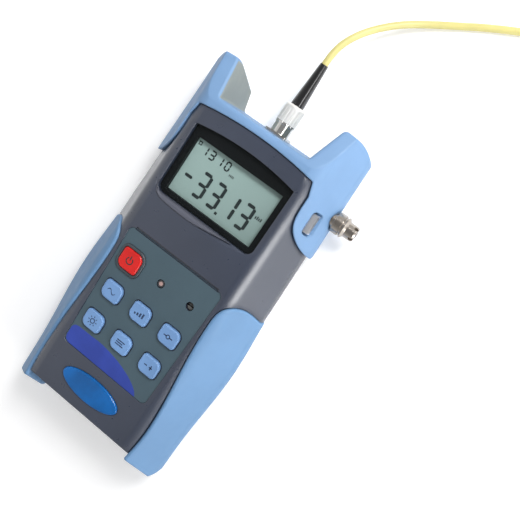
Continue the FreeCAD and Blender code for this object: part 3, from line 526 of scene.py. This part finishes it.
def stroke(x0, y0, x1, y1, width):
    """Outline of a straight stroke with pointed ends, as on a segment display."""
    length = math.hypot(x1 - x0, y1 - y0)
    ux, uy = (x1 - x0) / length, (y1 - y0) / length
    half = width / 2
    wx, wy = -uy * half, ux * half
    point = min(SEGMENT_POINT * half, length / 3)
    ax, ay = x0 + ux * point, y0 + uy * point
    bx, by = x1 - ux * point, y1 - uy * point
    return [(x0, y0), (ax - wx, ay - wy), (bx - wx, by - wy), (x1, y1), (bx + wx, by + wy),
            (ax + wx, ay + wy)]


def bar(x0, y0, x1, y1):
    """Outline of an upright rectangle."""
    return [(x0, y0), (x1, y0), (x1, y1), (x0, y1)]


def ring(radius, width, start=0, end=360, steps=18):
    """A ring or part of one about the origin, as a row of short quads."""
    bands = []
    inner, outer = radius - width / 2, radius + width / 2
    for i in range(steps):
        a = math.radians(start + (end - start) * i / steps)
        b = math.radians(start + (end - start) * (i + 1) / steps)
        bands.append([(inner * math.cos(a), inner * math.sin(a)), (outer * math.cos(a), outer * math.sin(a)),
                      (outer * math.cos(b), outer * math.sin(b)), (inner * math.cos(b), inner * math.sin(b))])
    return bands


def digit(character, x, top, size):
    """Strokes of one seven-segment digit whose upper left corner is (x, top)."""
    width, height, line = size
    left, right = x + line / 2, x + width - line / 2
    high, low = top - line / 2, top - height + line / 2
    middle = (high + low) / 2
    lit = SEGMENTS[character]
    start = left if "e" in lit or "f" in lit else x     # level segments reach out where no upright is lit
    places = {"a": (start, high, right, high), "b": (right, high, right, middle),
              "c": (right, middle, right, low), "d": (start, low, right, low),
              "e": (left, middle, left, low), "f": (left, high, left, middle),
              "g": (start, middle, right, middle)}
    strokes = []
    for key in lit:
        x0, y0, x1, y1 = places[key]
        share = line * SEGMENT_GAP / math.hypot(x1 - x0, y1 - y0)
        dx, dy = (x1 - x0) * share, (y1 - y0) * share
        strokes.append(stroke(x0 + dx, y0 + dy, x1 - dx, y1 - dy, line))
    return strokes


def display_digits(ink):
    """Reading, wavelength row and small marks on the display."""
    low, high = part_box("display_panel")
    left = (low.x + high.x) / 2 / MM - GLASS_W / 2
    top = (low.y + high.y) / 2 / MM + GLASS_H / 2
    shapes = []
    for characters, places, depth, size in DIGIT_ROWS:
        for character, x in zip(characters, places):
            shapes += digit(character, left + x, top - depth, size)
    start, end, depth, width = MINUS_SIGN
    shapes.append(stroke(left + start, top - depth, left + end, top - depth, width))
    for x0, y0, x1, y1 in POINT + ROW_UNIT + READING_UNIT + CORNER_SIGN:
        shapes.append(bar(left + x0, top - y0, left + x1, top - y1))
    thin_print("display_digits", shapes, high.z, DIGIT_THICK, ink, "meter")


def display_lip(look):
    """Low crescent ridge on the front shell below the display, sloping down to the frame."""
    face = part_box("front_shell")[1].z
    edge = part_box("display_lens")[0].y - RIDGE_GAP
    build = bmesh.new()
    rows = []
    for i, (x, crest, inner) in enumerate(RIDGE):
        taper = math.sin(math.pi * (i + 0.3) / (len(RIDGE) - 0.4)) ** 0.5
        inner_x = max(x, RIDGE_INNER_LIMIT) * MM
        inner_y = edge + inner * MM
        foot_x = (x - (RIDGE_TURN if inner > 0 else 0.0)) * MM
        foot_y = edge + (crest - RIDGE_SLOPE * taper - RIDGE_EDGE) * MM
        crest_z = face + (RIDGE_FOOT + RIDGE_HEIGHT * taper) * MM
        section = [(inner_x, inner_y, face + RIDGE_LIFT), (x * MM, edge + crest * MM, crest_z),
                   (foot_x, foot_y, face + RIDGE_LIFT), (foot_x, foot_y, face - RIDGE_SINK),
                   (inner_x, inner_y, face - RIDGE_SINK)]
        rows.append([build.verts.new(point) for point in section])
    for a, b in zip(rows, rows[1:]):
        for k in range(len(a)):
            j = (k + 1) % len(a)
            build.faces.new((a[k], a[j], b[j], b[k]))
    build.faces.new(rows[0])
    build.faces.new(rows[-1][::-1])
    piece = finish_mesh("display_lip", build, look)
    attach(piece, "meter")


def label_field(ink):
    """Blue-violet field in the label's lower left corner, its upper edge sweeping down to the right."""
    low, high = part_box("keypad_label")
    x, y = low.x / MM + FIELD_LEFT, low.y / MM
    outline = [(x + u, y + v) for u, v in FIELD_CORNER[-1:] + FIELD_TOP[::-1] + FIELD_CORNER[:-1]]
    thin_print("label_field", [outline], high.z, FIELD_THICK, ink, "meter")


def key_holes():
    """Upper edges of the label's key holes, as pairs of points for each key."""
    mesh = nodes["keypad_label"].data
    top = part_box("keypad_label")[1].z - TOP_TOLERANCE
    keys = {node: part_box(node) for node in KEY_NODES}
    build = bmesh.new()
    build.from_mesh(mesh)
    holes = {}
    for edge in build.edges:
        if any(v.co.z <= top for v in edge.verts) or all(abs(f.normal.z) >= STEEP for f in edge.link_faces):
            continue
        a, b = [v.co.copy() for v in edge.verts]
        middle = (a + b) / 2
        for node, (low, high) in keys.items():
            if all(low[k] - KEY_GAP_REACH < middle[k] < high[k] + KEY_GAP_REACH for k in (0, 1)):
                holes.setdefault(node, []).append((a, b))
    build.free()
    return holes


def label_painted_shadows(ink):
    """Painted shadow along the label's upper edge, and painted shade round each key, where the gap between
    key and hole falls dark.
    """
    low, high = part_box("keypad_label")
    shapes = [bar(low.x / MM + LABEL_LINE_END, high.y / MM - LABEL_LINE[0],
                  high.x / MM - LABEL_LINE_END, high.y / MM - LABEL_LINE[1])]
    for node, edges in key_holes().items():
        key_low, key_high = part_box(node)
        centre = (key_low + key_high) / 2
        for a, b in edges:
            quad = [(p.x / MM, p.y / MM) for p in (a, b)]
            for p in (b, a):
                out = Vector((p.x - centre.x, p.y - centre.y, 0.0))
                out *= 1.0 + KEY_SHADE_WIDTH / out.length
                quad.append(((centre.x + out.x) / MM, (centre.y + out.y) / MM))
            shapes.append(quad)
    thin_print("label_painted_shadows", shapes, high.z, FIELD_THICK, ink, "meter")


def wave_mark():
    """One period of a wave."""
    half, rise, steps = WAVE
    bands = []
    for i in range(steps):
        a, b = i / steps, (i + 1) / steps
        xa, xb = half * (2 * a - 1), half * (2 * b - 1)
        ya, yb = rise * math.sin(2 * math.pi * a), rise * math.sin(2 * math.pi * b)
        bands.append([(xa, ya - MARK_HALF), (xb, yb - MARK_HALF), (xb, yb + MARK_HALF), (xa, ya + MARK_HALF)])
    return bands


def ray_marks():
    """Short strokes all round, as about a lamp."""
    start, end, half, count = RAYS
    rays = []
    for i in range(count):
        c, s = math.cos(2 * math.pi * i / count), math.sin(2 * math.pi * i / count)
        rays.append([(along * c - side * s, along * s + side * c)
                     for along, side in ((start, -half), (end, -half), (end, half), (start, half))])
    return rays


def key_marks(key_ink, power_ink):
    """Plain marks on the keys, drawn about each key's centre: none of them is a word."""
    line = MARK_HALF
    marks = {
        "power_key": ring(1.5, 0.5, 125, 415, 22) + [bar(-line, 0.2, line, 2.2)],
        "key_1": wave_mark(),
        "key_2": [bar(1.3 * i - 2.4, -1.1, 1.3 * i - 1.6, 0.5 * i - 0.3) for i in range(4)],
        "key_3": [bar(-2.3, -line, -0.8, line), bar(0.8, -line, 2.3, line)] + ring(0.8, 0.45, steps=14),
        "key_4": ring(1.0, 0.45) + ray_marks(),
        "key_5": [bar(-2.1, 0.95 * i - 1.2, 2.1 - 0.8 * (i % 2), 0.95 * i - 0.7) for i in range(3)],
        "key_6": [bar(-2.1, -line, -0.6, line), bar(0.5, -line, 2.1, line), bar(1.05, -1.05, 1.55, 1.05)],
    }
    for node, shapes in marks.items():
        low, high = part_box(node)
        x, y = (low.x + high.x) / 2 / MM, (low.y + high.y) / 2 / MM
        placed = [[(x + u, y + v) for u, v in points] for points in shapes]
        ink = power_ink if node == "power_key" else key_ink
        thin_print(node + "_mark", placed, high.z, MARK_THICK, ink, node)


def cord_points():
    """Route of the free cord, its coil and its tail, in mm."""
    points = list(CORD_ROUTE)
    cx, cy = COIL_CENTRE
    count = round((COIL_END - COIL_START) / 360.0 * COIL_POINTS)
    for i in range(count + 1):
        share = i / count
        lane = share * (len(COIL_LANES) - 1)
        first = min(int(lane), len(COIL_LANES) - 2)
        blend = lane - first
        radius, height = [a + (b - a) * blend for a, b in zip(COIL_LANES[first], COIL_LANES[first + 1])]
        angle = math.radians(COIL_START + (COIL_END - COIL_START) * share)
        radius /= math.cos(math.pi / COIL_POINTS) ** 0.5    # the spline cuts inside its control points
        points.append((cx + radius * math.cos(angle), cy + radius * math.sin(angle), height))
    low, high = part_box("far_boot")
    end_x, axis_y, axis_z = high.x / MM, (low.y + high.y) / 2 / MM, (low.z + high.z) / 2 / MM
    points[-1] = (cx + COIL_LEAVES[0], axis_y + COIL_LEAVES[1], axis_z)
    return points + [(cx + TAIL_BEND, axis_y, axis_z), (end_x, axis_y, axis_z)]


def patch_cord(look):
    """The free cord and its coil on one spline, from the boot in the port to the far boot."""
    points = cord_points()
    data = bpy.data.curves.new("patch_cord", "CURVE")
    data.dimensions = "3D"
    data.bevel_depth = CORD_RADIUS * MM
    data.bevel_resolution = 4
    data.use_fill_caps = True
    data.resolution_u = 6
    spline = data.splines.new("NURBS")
    spline.points.add(len(points) - 1)
    for target, (x, y, z) in zip(spline.points, points):
        target.co = (x * MM, y * MM, z * MM, 1.0)
    spline.order_u = 3
    spline.use_endpoint_u = True
    data.materials.append(look.material)
    piece = place_object("patch_cord", data)
    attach(piece, "meter")
    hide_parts("cord_free", "cord_coil", "cord_tail")


# ---------------------------------------------------------------- floor, light and camera

def floor():
    """Pale floor that keeps the meter's shadow and fades to white in the distance."""
    look = Shader("floor_white", (0.93, 0.93, 0.935), 0.9)
    glow = look.rescale(look.distance((0.0, 0.0, 0.0)), *FLOOR_FADE, *FLOOR_GLOW)
    look.set("Emission Color", WHITE)
    look.set("Emission Strength", look.compute("MULTIPLY", look.for_camera(), glow))
    mesh = bpy.data.meshes.new("floor")
    r = FLOOR_REACH
    mesh.from_pydata([(-r, -r, 0), (r, -r, 0), (r, r, 0), (-r, r, 0)], [], [(0, 1, 2, 3)])
    mesh.materials.append(look.material)
    piece = place_object("floor", mesh)
    piece.location.z = -FLOOR_DROP


def world():
    """Pale surroundings, brighter near the horizon than overhead, and white to the camera."""
    settings = bpy.data.worlds.new("studio")
    settings.use_nodes = True
    sky = Nodes(settings.node_tree)
    background = sky.tree.nodes["Background"]
    _, _, z = sky.axes(sky.add("ShaderNodeTexCoord").outputs["Generated"])
    level = sky.rescale(z, *SKY_RISE, *SKY_LEVEL)
    sky.feed(WHITE, background.inputs["Color"])
    sky.feed(sky.mix("FLOAT", sky.for_camera(), level, SKY_SEEN), background.inputs["Strength"])
    bpy.context.scene.world = settings


def lamp(name, place, aim, size, watts):
    """A rectangular softbox at a place, turned towards its aim."""
    light = bpy.data.lights.new(name, "AREA")
    light.shape = "RECTANGLE"
    light.size, light.size_y = size
    light.energy = watts
    box = place_object(name, light)
    box.location = place
    box.rotation_euler = (Vector(aim) - Vector(place)).to_track_quat("-Z", "Y").to_euler()


def camera():
    """Camera of the main view."""
    data = bpy.data.cameras.new("camera")
    data.lens = CAMERA_LENS
    data.clip_start = 0.01
    view = place_object("camera", data)
    view.location = CAMERA_PLACE
    view.rotation_euler = [math.radians(a) for a in CAMERA_TURN]
    bpy.context.scene.camera = view


def main():
    dress_housing()
    dress_keypad()
    dress_inside()
    dress_connectors()
    ink = printed("ink_dark", (0.012, 0.022, 0.024), 0.5)
    key_ink = printed("ink_key", (0.018, 0.04, 0.10), 0.5)
    violet = printed("ink_violet", (0.026, 0.055, 0.34), 0.5, 0.12)
    display_digits(ink)
    # painted highlight: the ridge is the shell's own grey plastic, given a lighter colour so that it looks
    # lit
    display_lip(moulded("shell_lip_painted_highlight", (0.088, 0.094, 0.122), 0.35, relief=0.03, edge=0.0009, shade=0.05))
    label_field(violet)
    # painted shadow: dark navy for the shade along the label's upper edge and in the gaps round the keys
    label_painted_shadows(printed("ink_navy", (0.008, 0.012, 0.025), 0.6))
    key_marks(key_ink, ink)
    patch_cord(cord_jacket())
    floor()
    world()
    for settings in LAMPS:
        lamp(*settings)
    camera()
    scene = bpy.context.scene
    scene.view_settings.view_transform = "Standard"


main()
